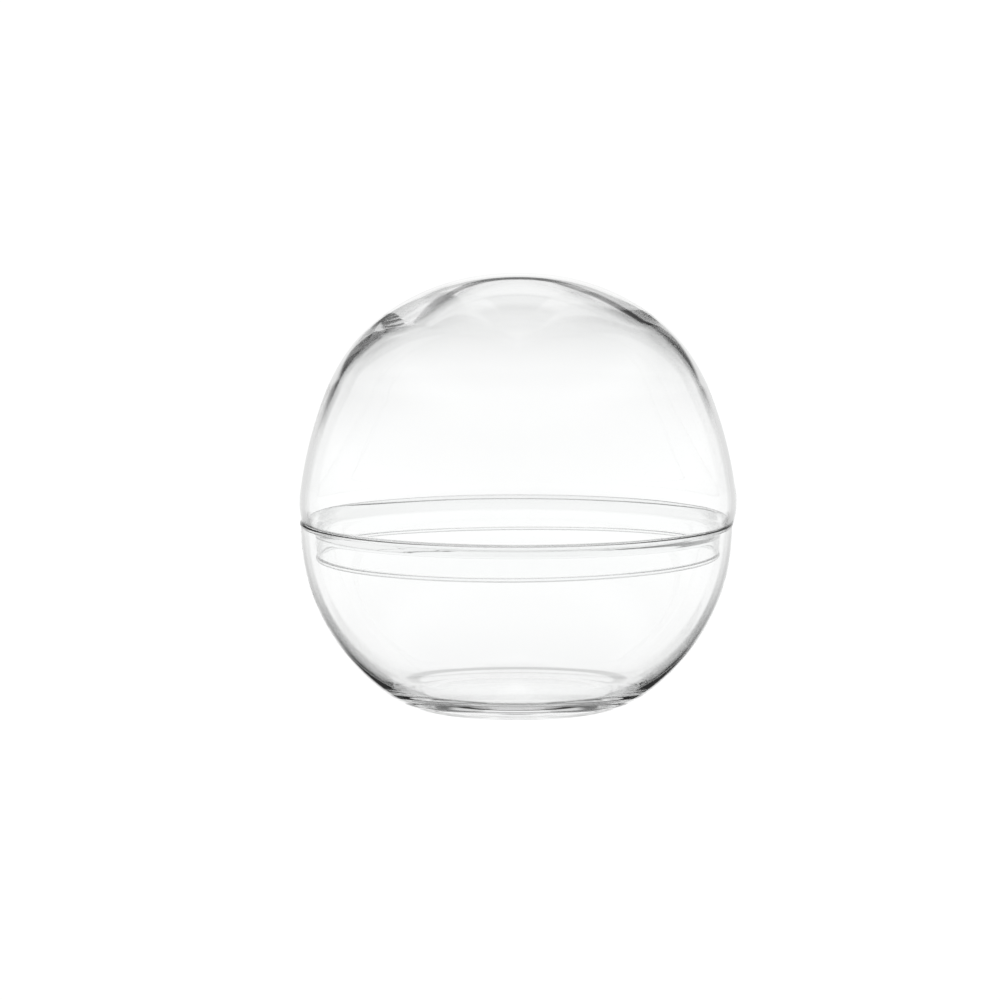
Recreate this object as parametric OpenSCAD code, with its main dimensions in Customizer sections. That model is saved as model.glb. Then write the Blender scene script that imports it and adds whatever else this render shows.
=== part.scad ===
// Two-part glass cloche: a bowl that stands on its foot ring and a dome that lifts off it.
// Both are blown glass bodies of revolution about the Z axis. The dome's heel rests on the
// bowl's fire-polished rim. From the heel the wall turns in and down through a cove into a short
// collar, which goes down inside the bowl and keeps the dome centred.
// Millimetres, +Z up, the origin on the table under the middle of the foot ring.
// Each wall outline is a chain of tangent arcs. An angle is the tilt of the wall's normal:
// 0 is a vertical wall, 90 a level surface facing up, -90 a level surface facing down.

/* [Bowl outside] */
// Radius of the outer edge of the foot ring
foot_r = 46.8; // [45:0.1:49]
// Width of the flat contact band of the foot ring
foot_band = 3.5; // [2:0.5:5]
// Depth of the shallow hollow under the base
base_hollow = 0.6; // [0.4:0.1:2]
// Radius of the curve that rounds the foot into the wall
foot_curve_r = 17.5; // [15:0.5:20]
// Tilt where the foot curve ends
foot_curve_tilt = -70; // [-74:1:-66]
// Radius of the curve above the foot
lower_curve_r = 55; // [50:1:60]
// Tilt where the curve above the foot ends
lower_curve_tilt = -52; // [-55:1:-48]
// Radius of the bowl's flank
flank_r = 110; // [104:1:114]
// Tilt where the flank ends
flank_tilt = -33; // [-38:1:-28]
// Radius of the bowl's upper wall
upper_wall_r = 100; // [96:1:104]

/* [Bowl inside] */
// Height of the floor inside the bowl
floor_z = 6.8; // [6:0.1:8]
// Radius of the flat floor
floor_r = 48; // [46:0.5:49]
// Radius of the curve that rounds the floor into the wall
floor_curve_r = 38; // [36:1:40]
// Tilt where the floor curve ends
floor_curve_tilt = -62; // [-64:1:-60]
// Radius of the inside of the lower flank
inner_flank_r = 30; // [28:1:32]
// Tilt where the inside of the lower flank ends
inner_flank_tilt = -51; // [-53:1:-49]
// Inner radius of the bowl just below its rim
mouth_r = 107; // [106.8:0.1:107.1]

/* [Rim] */
// Height of the middle of the rim bead
rim_z = 93.2; // [93:0.1:95]
// Radius of the circle that the middle of the rim bead follows
rim_r = 107.9; // [107.7:0.1:108.1]
// Radius of the rim bead's own cross-section
bead_r = 1; // [0.9:0.05:1.05]

/* [Dome outside] */
// Radius of the dome at its widest
dome_r = 110; // [109.5:0.1:110]
// Radius of the curve that draws the dome in below its widest
skirt_r = 30; // [28:1:32]
// Tilt where that curve meets the heel
skirt_tilt = -16.6; // [-18:0.2:-16]
// Radius of the heel that rests on the rim bead
heel_r = 0.6; // [0.5:0.1:0.9]
// Gap between the heel and the rim bead
seat_gap = 0.2; // [0.2:0.05:0.4]
// Radius of the curve just above the widest
waist_curve_r = 47; // [44:1:50]
// Tilt where the curve just above the widest ends
waist_curve_tilt = 7.2; // [6:0.2:8]
// Radius of the dome's long, nearly straight side
side_r = 203; // [195:1:210]
// Tilt where the side ends
side_tilt = 22.8; // [21:0.2:24]
// Radius of the shoulder
shoulder_r = 84; // [81:1:87]
// Tilt where the shoulder ends
shoulder_tilt = 53; // [51:1:55]
// Radius of the curve between the shoulder and the crown
brow_r = 106; // [102:1:110]
// Tilt where the crown starts
brow_tilt = 81.4; // [79:0.2:83]

/* [Dome inside] */
// Wall thickness where the dome is widest
dome_wall = 2.6; // [2.4:0.1:2.8]
// Radius of the inside of the long side
inner_side_r = 178; // [174:1:182]
// Tilt where the inside of the long side ends
inner_side_tilt = 26.4; // [25.6:0.2:27]
// Radius of the inside of the shoulder
inner_shoulder_r = 73; // [71:1:75]
// Tilt where the inside of the shoulder ends
inner_shoulder_tilt = 51; // [49:1:53]
// Radius of the curve between the inside of the shoulder and the inside of the crown
inner_brow_r = 61; // [58:1:64]
// Tilt where the inside of the crown starts
inner_brow_tilt = 58.6; // [57:0.2:60]
// Radius of the inner corner between the wall and the cove
inner_heel_r = 0.3; // [0.2:0.1:0.5]

/* [Collar] */
// Outer radius of the collar that goes down inside the bowl
collar_r = 101.4; // [100:0.1:102.5]
// Wall thickness of the collar
collar_wall = 1.4; // [1.2:0.1:1.7]
// Height of the middle of the bead that ends the collar
collar_end_z = 77.1; // [74.1:0.5:80.1]
// Radius of the end bead's own cross-section
end_bead_r = 1; // [0.9:0.05:1.2]
// Tilt where the heel turns into the cove above the collar
cove_tilt = -82; // [-84:1:-81]

/* [Hidden] */

glass = [0.9, 0.93, 0.93, 0.45];
$fn = 180;
arc_step = 3;   // an arc has a point at least every 3 degrees
min_steps = 4;  // and never fewer steps than this

// Unit vector [outward, up] along the normal at a tilt
function normal(tilt) = [cos(tilt), sin(tilt)];

function last(points) = points[len(points) - 1];
function tail(points) = [for (i = [1:len(points) - 1]) points[i]];
function reverse(points) = [for (i = [len(points) - 1:-1:0]) points[i]];

// The point that an arc starting at p reaches
function arc_end(p, radius, from, to) = p + radius * (normal(to) - normal(from));

// The points along that arc, after p
function arc_points(p, radius, from, to) =
    let (steps = max(min_steps, ceil(abs(to - from) / arc_step)))
    [for (i = [1:steps]) arc_end(p, radius, from, from + (to - from) * i / steps)];

// The points after p along tangent arcs, each given as [radius, tilt at its end]
function trace(p, tilt, arcs, i = 0) =
    i == len(arcs) ? [] :
    concat(
        arc_points(p, arcs[i][0], tilt, arcs[i][1]),
        trace(arc_end(p, arcs[i][0], tilt, arcs[i][1]), arcs[i][1], arcs, i + 1)
    );

function outline(p, tilt, arcs) = concat([p], trace(p, tilt, arcs));

// Ends a chain with the one arc that reaches the axis level
function to_axis(points, tilt) =
    let (p = last(points), radius = p.x / cos(tilt), arc = arc_points(p, radius, tilt, 90))
    concat(points, [for (i = [0:len(arc) - 2]) arc[i]], [[0, last(arc).y]]);

// Ends a chain with the one arc that becomes vertical at a radius; it may be hollow
function to_wall(points, tilt, wall_r) =
    let (p = last(points), radius = (wall_r - p.x) / (1 - cos(tilt)))
    concat(points, arc_points(p, radius, tilt, 0));

bowl_outside = outline([foot_r, 0], -90, [
    [foot_curve_r, foot_curve_tilt],
    [lower_curve_r, lower_curve_tilt],
    [flank_r, flank_tilt],
    [upper_wall_r, 0]
]);

bowl_inside = to_wall(outline([floor_r, floor_z], -90, [
    [floor_curve_r, floor_curve_tilt],
    [inner_flank_r, inner_flank_tilt]
]), inner_flank_tilt, mouth_r);

// The underside between the axis and the contact band is a shallow spherical hollow
hollow_r = foot_r - foot_band;
hollow_curve_r = (pow(hollow_r, 2) + pow(base_hollow, 2)) / (2 * base_hollow);
hollow_tilt = acos(hollow_r / hollow_curve_r);
underside = reverse(to_axis([[hollow_r, 0]], hollow_tilt));

rim_half_wall = 0.85 * bead_r;
rim_top = [[last(bowl_outside).x, rim_z], [rim_r - rim_half_wall, rim_z]];
bowl_profile = concat(underside, bowl_outside, rim_top, reverse(bowl_inside), [[0, floor_z]]);

// The heel's circle and the rim bead's circle are seat_gap apart
heel_x = dome_r - skirt_r + (skirt_r - heel_r) * cos(skirt_tilt);
heel_z = rim_z + sqrt(pow(heel_r + bead_r + seat_gap, 2) - pow(rim_r - heel_x, 2));
wide_z = heel_z - (skirt_r - heel_r) * sin(skirt_tilt);
inner_r = dome_r - dome_wall;

dome_outside = to_axis(outline([dome_r, wide_z], 0, [
    [waist_curve_r, waist_curve_tilt],
    [side_r, side_tilt],
    [shoulder_r, shoulder_tilt],
    [brow_r, brow_tilt]
]), brow_tilt);

dome_inside = to_axis(outline([inner_r, wide_z], 0, [
    [waist_curve_r - dome_wall, waist_curve_tilt],
    [inner_side_r, inner_side_tilt],
    [inner_shoulder_r, inner_shoulder_tilt],
    [inner_brow_r, inner_brow_tilt]
]), inner_brow_tilt);

heel_outside = outline([dome_r, wide_z], 0, [[skirt_r, skirt_tilt], [heel_r, cove_tilt]]);
heel_inside = outline([inner_r, wide_z], 0, [
    [skirt_r - dome_wall, skirt_tilt],
    [inner_heel_r, cove_tilt]
]);

// Outside and inside of the collar, down from the widest part of the dome
collar_in_r = collar_r - collar_wall;
collar_outside = to_wall(heel_outside, cove_tilt, collar_r);
collar_inside = to_wall(heel_inside, cove_tilt, collar_in_r);

dome_profile = concat(
    reverse(dome_outside), tail(collar_outside),
    [[collar_r, collar_end_z], [collar_in_r, collar_end_z]],
    reverse(collar_inside), tail(dome_inside)
);

// A round bead of glass that follows a circle about the axis
module bead(ring_r, z, section_r) {
    rotate_extrude() translate([ring_r, z]) circle(r = section_r, $fn = 48);
}

module bowl() {
    color(glass) union() {
        rotate_extrude() polygon(bowl_profile);
        bead(rim_r, rim_z, bead_r);
    }
}

module dome() {
    color(glass) union() {
        rotate_extrude() polygon(dome_profile);
        bead(collar_r - collar_wall / 2, collar_end_z, end_bead_r);
    }
}

bowl();
dome();
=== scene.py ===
"""The looks of a two-part blown-glass cloche: a bowl and the dome that rests on its rim.

Both glasses are lathe meshes on the outlines of the CAD bodies, with the faint unevenness of
hand-blown glass inside. They stand on a plain pale floor in soft white light. Metres, row frame.
"""

from math import acos, atan2, cos, degrees, pi, radians, sin, sqrt

import bpy
import numpy as np
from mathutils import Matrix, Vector


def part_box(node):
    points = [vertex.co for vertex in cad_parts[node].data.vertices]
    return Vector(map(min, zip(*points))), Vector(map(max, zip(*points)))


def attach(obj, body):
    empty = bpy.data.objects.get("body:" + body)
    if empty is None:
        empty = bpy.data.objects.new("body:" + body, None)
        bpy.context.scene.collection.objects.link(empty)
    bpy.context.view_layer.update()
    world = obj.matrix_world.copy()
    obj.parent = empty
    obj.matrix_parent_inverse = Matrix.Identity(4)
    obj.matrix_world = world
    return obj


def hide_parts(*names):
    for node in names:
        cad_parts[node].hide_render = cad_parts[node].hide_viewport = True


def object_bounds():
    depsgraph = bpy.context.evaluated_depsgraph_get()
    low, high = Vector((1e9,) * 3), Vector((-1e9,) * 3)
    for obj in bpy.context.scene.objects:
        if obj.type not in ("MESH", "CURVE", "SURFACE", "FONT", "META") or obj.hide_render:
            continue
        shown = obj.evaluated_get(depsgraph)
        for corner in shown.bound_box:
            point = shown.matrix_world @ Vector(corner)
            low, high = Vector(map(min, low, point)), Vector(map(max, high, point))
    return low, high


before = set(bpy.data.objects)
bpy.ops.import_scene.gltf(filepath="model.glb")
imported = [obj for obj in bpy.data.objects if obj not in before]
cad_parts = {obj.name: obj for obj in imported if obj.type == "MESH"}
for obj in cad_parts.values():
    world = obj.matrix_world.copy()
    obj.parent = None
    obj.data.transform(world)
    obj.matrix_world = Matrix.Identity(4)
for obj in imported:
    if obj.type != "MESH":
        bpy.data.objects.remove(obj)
cad_low, cad_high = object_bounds()
_, bowl_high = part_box("bowl")
dome_low, dome_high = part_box("dome")

MM = 0.001
AROUND = 400

# Glass: its tint at each surface, its roughness from polished to wiped, and its waves
THIN_TINT = (1.0, 1.0, 1.0, 1)
THICK_TINT = (0.985, 0.992, 0.99, 1)
POLISH = (0.0, 0.006)
CLOUD_SCALE = 14
STREAK_SCALE = 30
WAVE_SCALE = 22
WAVE_DEPTH = 0.02 * MM
STREAK_SQUEEZE = (1, 1, 6)
CLOUD_SQUEEZE = (1, 1, 1)
WAVE_SQUEEZE = (1, 1, 2.5)
NOISE_DETAIL = 2.0
NOISE_MIDDLE = (0.3, 0.7)
IOR = 1.5
BOWL_SEED = 0.0
DOME_SEED = 0.7

# The bowl, in millimetres, from its foot to its rim. Arcs are (radius, tilt at the end, steps).
FOOT_R = 46.8
FOOT_BAND = 3.5
BASE_HOLLOW = 0.6
BOWL_OUTSIDE = ((17.5, -70, 20), (55, -52, 24), (110, -33, 36), (100, 0, 60))
FLOOR_R = 48
FLOOR_Z = 6.8
FLOOR_CURVE = ((38, -62, 30), (30, -51, 12))
MOUTH_R = 107
BEAD_R = 1.0
RIM_R = 107.9
RIM_Z = bowl_high.z / MM - BEAD_R
BEAD_CORNER = 0.25
BEAD_END = 175

# The dome, from its crown down to the end of its collar
DOME_R = 110
DOME_OUTSIDE = ((47, 7.2, 10), (203, 22.8, 60), (84, 53, 50), (106, 81.4, 60))
SKIRT = (30, -16.6, 16)
HEEL = (0.6, -82, 12)
INNER_HEEL = (0.3, -82, 12)
COLLAR_R = 101.4
COLLAR_WALL = 1.4
END_BEAD = 1.0
COLLAR_END_Z = dome_low.z / MM + END_BEAD

# Hand-blown glass is thicker on one side: wall and inner arcs on the -X side and on the +X side
THICK_SIDE = (2.85, ((171, 27.6, 60), (68, 52, 50), (63, 61, 20)))
THIN_SIDE = (2.55, ((180, 25.8, 60), (76, 50.8, 50), (59.5, 57.3, 20)))
THICK_FROM = 25
THICK_TO = 80
COLLAR_SLOPE = 0.009
COLLAR_FADE = 12
DOME_SHIFT = 0.7

# Steps along the parts of the outlines that have no arc of their own above
UNDER_STEPS = 24
BAND_STEPS = 5
LIP_STEPS = 4
CORNER_STEPS = 10
BEAD_STEPS = 40
MOUTH_STEPS = 110
FLOOR_STEPS = 30
CROWN_STEPS = 40
INNER_CROWN_STEPS = 60
COVE_STEPS = 36
COLLAR_STEPS = 10
END_BEAD_STEPS = 30


# ---- outlines: points [radius, height] in millimetres -----------------------------------------


def normal(tilt):
    """Unit vector [outward, up] at a tilt in degrees: 0 is a vertical wall, 90 faces up."""
    return np.array([cos(radians(tilt)), sin(radians(tilt))])


def arc(start, radius, tilt, end_tilt, steps):
    """Points along an arc whose normal turns from tilt to end_tilt, after start."""
    tilts = np.radians(np.linspace(tilt, end_tilt, steps + 1)[1:])
    turned = np.stack([np.cos(tilts), np.sin(tilts)], 1)
    return np.array(start) + radius * (turned - normal(tilt))


def chain(start, tilt, arcs):
    """Points along tangent arcs from start."""
    points = [np.array([start], float)]
    for radius, end_tilt, steps in arcs:
        points.append(arc(points[-1][-1], radius, tilt, end_tilt, steps))
        tilt = end_tilt
    return np.concatenate(points)


def to_axis(points, tilt, steps):
    """Ends a chain with the one arc that reaches the axis level."""
    end = points[-1]
    points = np.concatenate([points, arc(end, end[0] / cos(radians(tilt)), tilt, 90, steps)])
    points[-1][0] = 0
    return points


def to_wall(points, tilt, wall_r, steps):
    """Ends a chain with the one arc that becomes vertical at a radius; it may be hollow."""
    radius = (wall_r - points[-1][0]) / (1 - cos(radians(tilt)))
    return np.concatenate([points, arc(points[-1], radius, tilt, 0, steps)])


def line(start, end, steps):
    """Points on a straight line, between its ends."""
    start, end = np.array(start), np.array(end)
    return start + (end - start) * np.linspace(0, 1, steps + 1)[1:-1, None]


def circle(center, radius, angle, end_angle, steps):
    """Points on a circle between two angles in degrees."""
    angles = np.radians(np.linspace(angle, end_angle, steps + 1))
    return np.array(center) + radius * np.stack([np.cos(angles), np.sin(angles)], 1)


def underside():
    """The shallow spherical hollow under the base, from the axis to the contact band."""
    band_r = FOOT_R - FOOT_BAND
    radius = (band_r**2 + BASE_HOLLOW**2) / (2 * BASE_HOLLOW)
    tilt = degrees(acos(band_r / radius))
    return to_axis(np.array([[band_r, 0.0]]), tilt, UNDER_STEPS)[::-1]


def rim(wall_r):
    """The fire-polished bead, with the small round corner that joins it to the outer wall."""
    across = wall_r + BEAD_CORNER - RIM_R
    drop = sqrt((BEAD_R + BEAD_CORNER) ** 2 - across**2)
    touch = -degrees(atan2(drop, across))
    corner_middle = (wall_r + BEAD_CORNER, RIM_Z - drop)
    corner = circle(corner_middle, BEAD_CORNER, 180, 180 + touch, CORNER_STEPS)
    bead = circle((RIM_R, RIM_Z), BEAD_R, touch, BEAD_END, BEAD_STEPS)[1:]
    return np.concatenate([corner, bead])


def bowl_outline():
    """From the middle of the underside, over the foot and the rim, to the middle of the floor."""
    under = underside()
    outside = chain((FOOT_R, 0), -90, BOWL_OUTSIDE)
    curve = chain((FLOOR_R, FLOOR_Z), -90, FLOOR_CURVE)
    inside = to_wall(curve, FLOOR_CURVE[-1][1], MOUTH_R, MOUTH_STEPS)
    edge = rim(outside[-1][0])
    return np.concatenate([
        under,
        line(under[-1], outside[0], BAND_STEPS),
        outside,
        line(outside[-1], edge[0], LIP_STEPS),
        edge,
        line(edge[-1], inside[-1], LIP_STEPS),
        inside[::-1],
        line(inside[0], (0, FLOOR_Z), FLOOR_STEPS),
        [[0, FLOOR_Z]],
    ])


def dome_outline(wall, inner_arcs):
    """From the middle of the crown, down the inside, round the collar, and up the outside."""
    side = chain((DOME_R, 0), 0, DOME_OUTSIDE)
    outside = to_axis(side, DOME_OUTSIDE[-1][1], CROWN_STEPS)
    wide_z = dome_high.z / MM - outside[-1][1]
    inner_r = DOME_R - wall
    inner_skirt = (SKIRT[0] - wall, SKIRT[1], SKIRT[2])
    inner_waist = (DOME_OUTSIDE[0][0] - wall, DOME_OUTSIDE[0][1], DOME_OUTSIDE[0][2])
    heel = chain((DOME_R, 0), 0, (SKIRT, HEEL))
    collar_outside = to_wall(heel, HEEL[1], COLLAR_R, COVE_STEPS)
    inner_heel = chain((inner_r, 0), 0, (inner_skirt, INNER_HEEL))
    collar_inside = to_wall(inner_heel, HEEL[1], COLLAR_R - COLLAR_WALL, COVE_STEPS)
    inner_side = chain((inner_r, 0), 0, (inner_waist,) + inner_arcs)
    inside = to_axis(inner_side, inner_arcs[-1][1], INNER_CROWN_STEPS)
    half = COLLAR_WALL / 2
    meet = degrees(acos(half / END_BEAD))
    end = circle((COLLAR_R - half, COLLAR_END_Z - wide_z), END_BEAD, meet, -180 - meet, END_BEAD_STEPS)
    points = np.concatenate([
        outside[::-1],
        collar_outside[1:],
        line(collar_outside[-1], end[0], COLLAR_STEPS),
        end,
        line(end[-1], collar_inside[-1], COLLAR_STEPS),
        collar_inside[::-1],
        inside[1:],
    ])
    return points[::-1] + [0, wide_z]


# ---- meshes -------------------------------------------------------------------------------------


def turn(outline):
    """The outline turned about Z: an array of rings of points, and the two points on the axis."""
    angles = np.linspace(0, 2 * pi, AROUND, endpoint=False)
    radius, height = outline[1:-1, 0][:, None], outline[1:-1, 1][:, None]
    rings = np.stack([radius * np.cos(angles), radius * np.sin(angles), height + 0 * angles], 2)
    poles = np.array([[0, 0, outline[0][1]], [0, 0, outline[-1][1]]])
    return rings, poles


def smooth(x, low, high):
    """0 below low, 1 above high, with a soft change between."""
    t = np.clip((x - low) / (high - low), 0, 1)
    return t * t * (3 - 2 * t)


def bowl_points():
    """The bowl's rings and poles."""
    return turn(bowl_outline())


def dome_points():
    """The dome's rings and poles: thicker on one side, the collar's end a little out of level."""
    thick, _ = turn(dome_outline(*THICK_SIDE))
    thin, poles = turn(dome_outline(*THIN_SIDE))
    share = smooth(-thin[..., 0], THICK_FROM, THICK_TO)
    rings = thin + (thick - thin) * share[..., None]
    low = 1 - smooth(rings[..., 2], COLLAR_END_Z, COLLAR_END_Z + COLLAR_FADE)
    rings[..., 2] += COLLAR_SLOPE * rings[..., 0] * low
    shift = np.array([DOME_SHIFT, 0, 0])
    return rings + shift, poles + shift


def unit(vectors):
    """The vectors at length 1."""
    return vectors / np.linalg.norm(vectors, axis=-1)[..., None]


def ring_normals(rings):
    """Outward normals of the turned surface at every point of the rings."""
    steps = np.linalg.norm(np.diff(rings[:, 0], axis=0), axis=1)
    along = np.gradient(rings, np.concatenate([[0], np.cumsum(steps)]), axis=0)
    around = np.roll(rings, -1, axis=1) - np.roll(rings, 1, axis=1)
    return unit(np.cross(around, along))


def lathe(name, rings, poles):
    """A closed smooth mesh through the rings and the two poles, in metres."""
    rows = len(rings)
    index = 1 + np.arange(rows * AROUND).reshape(rows, AROUND)
    after = np.roll(index, -1, axis=1)
    last = rows * AROUND + 1
    faces = np.stack([index[:-1], after[:-1], after[1:], index[1:]], 2).reshape(-1, 4).tolist()
    faces += [[0, int(b), int(a)] for a, b in zip(index[0], after[0])]
    faces += [[last, int(a), int(b)] for a, b in zip(index[-1], after[-1])]
    normals = np.concatenate([[[0, 0, -1]], ring_normals(rings).reshape(-1, 3), [[0, 0, 1]]])
    vertices = np.concatenate([poles[:1], rings.reshape(-1, 3), poles[1:]]) * MM
    mesh = bpy.data.meshes.new(name)
    mesh.from_pydata(vertices.tolist(), [], faces)
    mesh.update()
    mesh.normals_split_custom_set_from_vertices(normals.tolist())
    piece = bpy.data.objects.new(name, mesh)
    bpy.context.scene.collection.objects.link(piece)
    return piece


# ---- nodes --------------------------------------------------------------------------------------


class Graph:
    """Short ways to add and link nodes."""

    def __init__(self, tree):
        self.tree = tree
        tree.nodes.clear()

    def add(self, kind, **settings):
        """A new node with its settings."""
        node = self.tree.nodes.new(kind)
        for key, value in settings.items():
            setattr(node, key, value)
        return node

    def link(self, source, target):
        """Joins an output to an input."""
        self.tree.links.new(source, target)

    def math(self, operation, value, second=None):
        """A number worked out from one or two others."""
        node = self.add("ShaderNodeMath", operation=operation)
        self.put(value, node.inputs[0])
        if second is not None:
            self.put(second, node.inputs[1])
        return node.outputs[0]

    def put(self, value, socket):
        """Sets an input to a number, or links it to an output."""
        if isinstance(value, (int, float)):
            socket.default_value = value
        else:
            self.link(value, socket)

    def ramp(self, factor, stops):
        """A brightness that follows a factor through (factor, brightness) stops."""
        node = self.add("ShaderNodeValToRGB")
        elements = node.color_ramp.elements
        while len(elements) > 1:
            elements.remove(elements[-1])
        for i, (place, light) in enumerate(sorted(stops)):
            element = elements[0] if i == 0 else elements.new(place)
            element.position = place
            element.color = (light, light, light, 1)
        self.link(factor, node.inputs[0])
        return node.outputs[0]

    def noise(self, place, scale, squeeze):
        """Smooth noise, squeezed along each axis by a factor."""
        squeezed = self.add("ShaderNodeVectorMath", operation="MULTIPLY")
        self.link(place, squeezed.inputs[0])
        squeezed.inputs[1].default_value = squeeze
        node = self.add("ShaderNodeTexNoise")
        node.inputs["Scale"].default_value = scale
        node.inputs["Detail"].default_value = NOISE_DETAIL
        self.link(squeezed.outputs[0], node.inputs["Vector"])
        return node.outputs[0]

    def between(self, factor, low, high):
        """A value that runs from low to high as the factor runs over the middle of its range."""
        node = self.add("ShaderNodeMapRange")
        self.link(factor, node.inputs[0])
        node.inputs[1].default_value = NOISE_MIDDLE[0]
        node.inputs[2].default_value = NOISE_MIDDLE[1]
        node.inputs[3].default_value = low
        node.inputs[4].default_value = high
        return node.outputs[0]

    def tint(self, factor, first, second):
        """A colour between two."""
        node = self.add("ShaderNodeMix", data_type="RGBA")
        self.link(factor, node.inputs[0])
        node.inputs[6].default_value = first
        node.inputs[7].default_value = second
        return node.outputs[2]

    def soft_step(self, angle, ends):
        """0 before the first of two angles in degrees and 1 after the second."""
        node = self.add("ShaderNodeMapRange", interpolation_type="SMOOTHSTEP")
        self.link(angle, node.inputs[0])
        node.inputs[1].default_value = radians(ends[0])
        node.inputs[2].default_value = radians(ends[1])
        return node.outputs[0]

    def mix(self, factor, first, second):
        """A number between two."""
        node = self.add("ShaderNodeMix", data_type="FLOAT")
        self.put(factor, node.inputs[0])
        self.put(first, node.inputs[2])
        self.put(second, node.inputs[3])
        return node.outputs[0]


# ---- materials ----------------------------------------------------------------------------------


def glass_material(name, seed):
    """Clear blown glass: a breath of uneven tint, faint wipe marks and gentle surface waves."""
    material = bpy.data.materials.new(name)
    material.use_nodes = True
    graph = Graph(material.node_tree)
    where = graph.add("ShaderNodeTexCoord").outputs["Object"]
    place = graph.add("ShaderNodeMapping")
    place.inputs["Location"].default_value = (seed, 0, 0)
    graph.link(where, place.inputs["Vector"])
    streaks = graph.noise(place.outputs[0], STREAK_SCALE, STREAK_SQUEEZE)
    clouds = graph.noise(place.outputs[0], CLOUD_SCALE, CLOUD_SQUEEZE)
    waves = graph.noise(place.outputs[0], WAVE_SCALE, WAVE_SQUEEZE)
    shader = graph.add("ShaderNodeBsdfPrincipled")
    shader.inputs["Transmission Weight"].default_value = 1.0
    shader.inputs["IOR"].default_value = IOR
    graph.link(graph.tint(clouds, THIN_TINT, THICK_TINT), shader.inputs["Base Color"])
    graph.link(graph.between(streaks, *POLISH), shader.inputs["Roughness"])
    bump = graph.add("ShaderNodeBump")
    bump.inputs["Strength"].default_value = 1.0
    bump.inputs["Distance"].default_value = WAVE_DEPTH
    graph.link(waves, bump.inputs["Height"])
    graph.link(bump.outputs[0], shader.inputs["Normal"])
    out = graph.add("ShaderNodeOutputMaterial")
    graph.link(shader.outputs[0], out.inputs["Surface"])
    return material


# ---- camera, floor and light --------------------------------------------------------------------

# The camera: its tilt, its distance from what it aims at, the width it sees there, and how far it
# aims from the middle of the object; sensor in millimetres
CAMERA_TILT = radians(6.79)
DISTANCE = 3.2
FIELD = 0.50274
AIM = (-8.3 * MM, 0, -4.85 * MM)
SENSOR = 36
CLIP_START = 0.05
CLIP_END = 50

FLOOR_SIZE = 0.45
FLOOR_DROP = 0.2 * MM
FLOOR_SIDES = 120
WHITE = 1.05
BOUNCES = 40
GLOSSY_BOUNCES = 16

# Brightness of the room by elevation in degrees: the white backdrop behind the object, with the
# table's edge below it and dark gaps above it; the dark screens on both sides of the backdrop; and
# the white walls everywhere else
BACKDROP_LIGHT = ((-90, 0.85), (-60, 0.9), (-50, 0.9), (-35, 1.0), (-25, 1.03), (-24, 0.68),
                  (-22, 0.68), (-21, 1.04), (-4, 1.04), (1, 0.93), (5, 0.93), (8, 1.0),
                  (10.5, 1.0), (12, 0.85), (15, 0.85), (16.5, 0.1), (21, 0.1), (22.5, 0.85),
                  (43, 0.85), (47, 0.15), (60, 0.15), (68, 0.8), (90, 0.85))
SCREEN_LIGHT = ((-90, 0.85), (-70, 0.8), (-58, 0.5), (-45, 0.15), (-34, 0.08), (-20, 0.08),
                (-13, 0.55), (-7, 0.75), (5, 0.75), (8, 0.1), (26, 0.05), (30, 0.5), (38, 0.6),
                (50, 0.7), (90, 0.8))
WALL_LIGHT = ((-90, 0.5), (-60, 0.7), (-42, 0.95), (-22, 0.95), (10, 0.95), (18, 0.7), (30, 0.5),
              (42, 0.7), (55, 0.5), (90, 0.4))

# Where the screens start and end, in degrees to either side of the middle of the backdrop
SCREEN_FROM = (10, 11.5)
SCREEN_TO = (31, 35)


def add_camera():
    """The camera: in front of the object and a little above it."""
    middle = (cad_low + cad_high) / 2
    aim = middle + Vector(AIM)
    back = Vector((0, -cos(CAMERA_TILT), sin(CAMERA_TILT)))
    data = bpy.data.cameras.new("camera")
    data.sensor_width = SENSOR
    data.lens = SENSOR * DISTANCE / FIELD
    data.clip_start = CLIP_START
    data.clip_end = CLIP_END
    camera = bpy.data.objects.new("camera", data)
    camera.location = aim + back * DISTANCE
    camera.rotation_mode = "QUATERNION"
    camera.rotation_quaternion = (-back).to_track_quat("-Z", "Y")
    bpy.context.scene.collection.objects.link(camera)
    bpy.context.scene.camera = camera


def by_height(lights):
    """Stops on a ramp that runs from straight down at 0 to straight up at 1."""
    return [(0.5 + elevation / 180, light) for elevation, light in lights]


def camera_ray(graph):
    """1 for what the camera sees directly, 0 for what it sees in or through the glass."""
    return graph.add("ShaderNodeLightPath").outputs["Is Camera Ray"]


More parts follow.
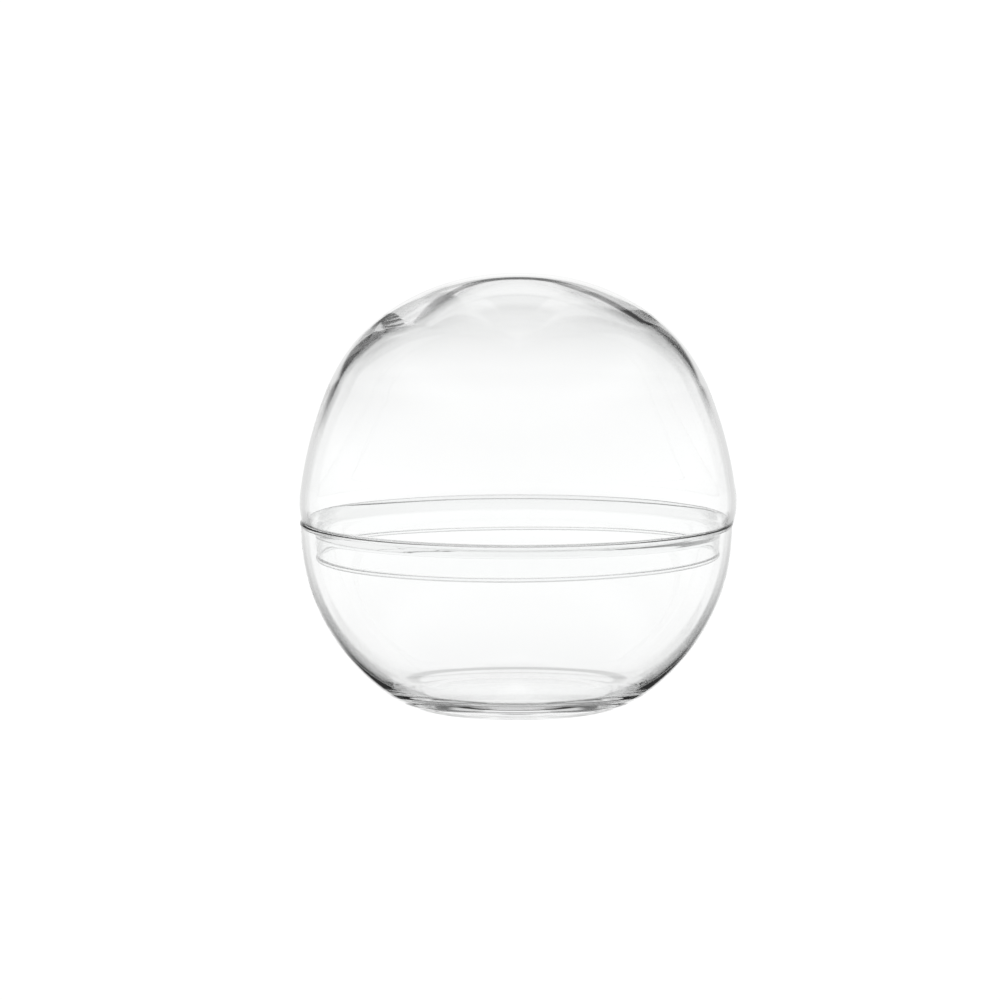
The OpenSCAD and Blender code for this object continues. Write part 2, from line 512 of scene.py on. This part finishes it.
def add_floor():
    """A plain pale floor that lets the light of the room through from below."""
    mesh = bpy.data.meshes.new("floor")
    around = [2 * pi * side / FLOOR_SIDES for side in range(FLOOR_SIDES)]
    edge = [(FLOOR_SIZE * cos(angle), FLOOR_SIZE * sin(angle), 0) for angle in around]
    mesh.from_pydata(edge, [], [range(len(edge))])
    floor = bpy.data.objects.new("floor", mesh)
    floor.location.z = -FLOOR_DROP
    bpy.context.scene.collection.objects.link(floor)
    material = bpy.data.materials.new("pale_floor")
    material.use_nodes = True
    graph = Graph(material.node_tree)
    glow = graph.add("ShaderNodeEmission")
    glow.inputs["Strength"].default_value = WHITE
    clear = graph.add("ShaderNodeBsdfTransparent")
    both = graph.add("ShaderNodeMixShader")
    graph.link(camera_ray(graph), both.inputs[0])
    graph.link(clear.outputs[0], both.inputs[1])
    graph.link(glow.outputs[0], both.inputs[2])
    out = graph.add("ShaderNodeOutputMaterial")
    graph.link(both.outputs[0], out.inputs["Surface"])
    mesh.materials.append(material)


def add_world():
    """The studio: plain white to the camera, with its screens and gaps in and through the glass."""
    world = bpy.data.worlds.new("studio")
    bpy.context.scene.world = world
    world.use_nodes = True
    graph = Graph(world.node_tree)
    where = graph.add("ShaderNodeTexCoord")
    split = graph.add("ShaderNodeSeparateXYZ")
    graph.link(where.outputs["Generated"], split.inputs[0])
    up = graph.math("ARCSINE", split.outputs["Z"])
    height = graph.math("MULTIPLY_ADD", up, 1 / pi)
    height.node.inputs[2].default_value = 0.5
    azimuth = graph.math("ARCTAN2", split.outputs["X"], split.outputs["Y"])
    aside = graph.math("ABSOLUTE", azimuth)
    backdrop = graph.ramp(height, by_height(BACKDROP_LIGHT))
    screen = graph.ramp(height, by_height(SCREEN_LIGHT))
    wall = graph.ramp(height, by_height(WALL_LIGHT))
    light = graph.mix(graph.soft_step(aside, SCREEN_FROM), backdrop, screen)
    light = graph.mix(graph.soft_step(aside, SCREEN_TO), light, wall)
    back = graph.add("ShaderNodeBackground")
    back.inputs["Color"].default_value = (1, 1, 1, 1)
    graph.link(graph.mix(camera_ray(graph), light, WHITE), back.inputs["Strength"])
    out = graph.add("ShaderNodeOutputWorld")
    graph.link(back.outputs[0], out.inputs["Surface"])


for node, points, body, seed in (
    ("bowl", bowl_points, "bowl_body", BOWL_SEED),
    ("dome", dome_points, "dome_body", DOME_SEED),
):
    piece = lathe(node + "_glass", *points())
    piece.data.materials.append(glass_material(node + "_clear_glass", seed))
    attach(piece, body)
    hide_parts(node)

add_camera()
add_floor()
add_world()

scene = bpy.context.scene
scene.view_settings.view_transform = "Standard"
scene.view_settings.look = "None"
scene.cycles.max_bounces = BOUNCES
scene.cycles.transmission_bounces = BOUNCES
scene.cycles.glossy_bounces = GLOSSY_BOUNCES
scene.cycles.caustics_reflective = True
scene.cycles.caustics_refractive = True
